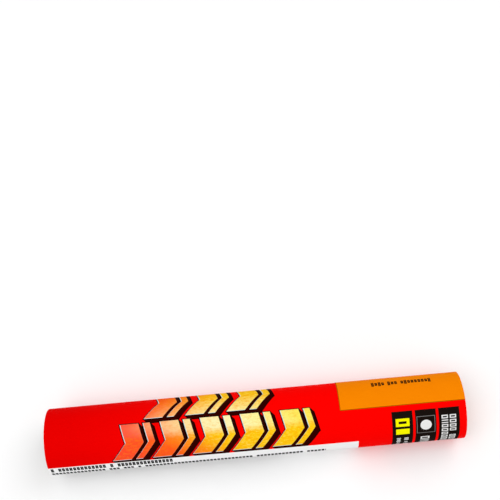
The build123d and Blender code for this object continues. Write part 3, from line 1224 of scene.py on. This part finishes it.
def fuse_route():
    """Points close together along the fuse: out along the axis, a bend aside, and round under the cap."""
    start, end = span("fuse_jacket")
    loop_x = end - FUSE_RADIUS
    bend_x = loop_x - FUSE_BEND
    join_end = atan2(FUSE_JOIN, FUSE_BEND)

    def lead(share):
        return Vector((start + (bend_x - start) * share, 0, AXIS_HEIGHT))

    def bend(share):
        turn = share * pi / 2
        return Vector((bend_x + FUSE_BEND * sin(turn), FUSE_BEND * (1 - cos(turn)), AXIS_HEIGHT))

    def join(share):
        turn = -pi / 2 + (join_end + pi / 2) * share
        y = FUSE_BEND + FUSE_JOIN * cos(turn)
        return Vector((loop_x, y, AXIS_HEIGHT + FUSE_JOIN * (1 + sin(turn))))

    def loop(share):
        turn = join_end + FUSE_SWEEP * share
        return Vector((loop_x, FUSE_LOOP * cos(turn), AXIS_HEIGHT + FUSE_LOOP * sin(turn)))

    lengths = (bend_x - start, FUSE_BEND * pi / 2, FUSE_JOIN * (join_end + pi / 2), FUSE_LOOP * FUSE_SWEEP)
    route = [lead(0)]
    for length, stretch in zip(lengths, (lead, bend, join, loop)):
        count = round(length / FUSE_STEP)
        route += [stretch(index / count) for index in range(1, count + 1)]
    return route


def thread_relief(travelled, turn):
    """How deep the surface lies under the fuse's full radius: close turns of thread, and two across them."""
    wound = abs(sin(pi * travelled / THREAD_PITCH - turn / 2))
    depth = THREAD_DEPTH * (1 - wound) + CROSS_DEPTH
    crossing = abs(cos(pi * travelled / CROSS_PITCH + turn))
    return depth * (1 - max(0.0, (crossing - CROSS_EDGE) / (1 - CROSS_EDGE)))


def add_fuse(material):
    """The fuse's jacket of wound thread, hollow for its powder core."""
    around = FUSE_SIDES
    route = fuse_route()
    vertices = []
    travelled = 0.0
    side = Vector((0, 0, 1))
    for index, point in enumerate(route):
        before = route[max(index - 1, 0)]
        after = route[min(index + 1, len(route) - 1)]
        forward = (after - before).normalized()
        side = (side - forward * side.dot(forward)).normalized()
        other = forward.cross(side)
        travelled += (point - before).length
        turns = [2 * pi * step / around for step in range(around)]
        radii = [FUSE_RADIUS - thread_relief(travelled, turn) for turn in turns] + [FUSE_CORE] * around
        for turn, radius in zip(turns * 2, radii):
            vertices.append(point + side * (radius * cos(turn)) + other * (radius * sin(turn)))
    rings = rings_of(vertices, around * 2)
    outer = [ring[:around] for ring in rings]
    inner = [ring[around:] for ring in rings]
    faces = skinned(outer) + skinned(inner)
    faces += bridge(outer[0], inner[0]) + bridge(outer[-1], inner[-1])
    new_piece("fuse_thread", vertices, faces, [material], "flare", ["fuse_jacket"])


# ---- Making everything ------------


add_camera()
add_studio()
paper_core = mottled("paper_core", (226, 222, 214), (240, 238, 232), 900.0, 0.8, 0.02 * MM, 0.2)
kraft = kraft_board("kraft_board", (128, 88, 54), (178, 132, 88))
grey_board = kraft_board("grey_board", (112, 108, 102), (156, 150, 142))
cap_plastic = moulded_plastic("cap_plastic", (232, 104, 4), (246, 124, 10), 0.36)
plug_plastic = moulded_plastic("plug_plastic", (20, 20, 22), (34, 34, 36), 0.46)
clay = mottled("pressed_clay", (168, 152, 128), (208, 194, 170), 500.0, 0.92, 0.12 * MM)
charge = mottled("flame_charge", (142, 96, 84), (196, 150, 134), 1300.0, 0.85, 0.06 * MM)
first_fire = mottled("first_fire", (44, 42, 42), (88, 84, 82), 1700.0, 0.8, 0.06 * MM)
powder = mottled("black_powder", (14, 14, 15), (46, 46, 48), 5000.0, 0.7, 0.05 * MM)
glue = mottled("amber_glue", (158, 98, 26), (206, 146, 58), 420.0, 0.22, 0.02 * MM, 0.5)
thread = fuse_thread()

add_paper(printed_paper(), paper_core)
add_label(label_paper())
add_rolled_tube(
    "casing_board", BORE_RADIUS, CASING_RADIUS, HANDLE_END, FUSE_END, CASING_TURNS, kraft, "casing_tube"
)
add_rolled_tube(
    "flame_board", FLAME_RADIUS, FLAME_OUTER_RADIUS, FLAME_START, MOUTH, FLAME_TURNS, kraft, "flame_tube"
)
add_handle_plug(plug_plastic)
add_cap(cap_plastic)
add_pull_ring(cap_plastic)
add_hinge_film(cap_plastic)
add_clay_ring(clay)
add_glue_bead(glue)
add_fuse(thread)
# CAD nodes whose shape is already right only get a better material.
better = (
    ("bulkhead_disc", grey_board),
    ("fuse_disc", grey_board),
    ("rear_spacer_ring", kraft),
    ("clay_base_plug", clay),
    ("flame_pellet", charge),
    ("first_fire_pellet", first_fire),
    ("fuse_powder_core", powder),
)
for name, node in frame["nodes"].items():
    for prefix, material in better:
        if name.startswith(prefix):
            node.data.materials.clear()
            node.data.materials.append(material)
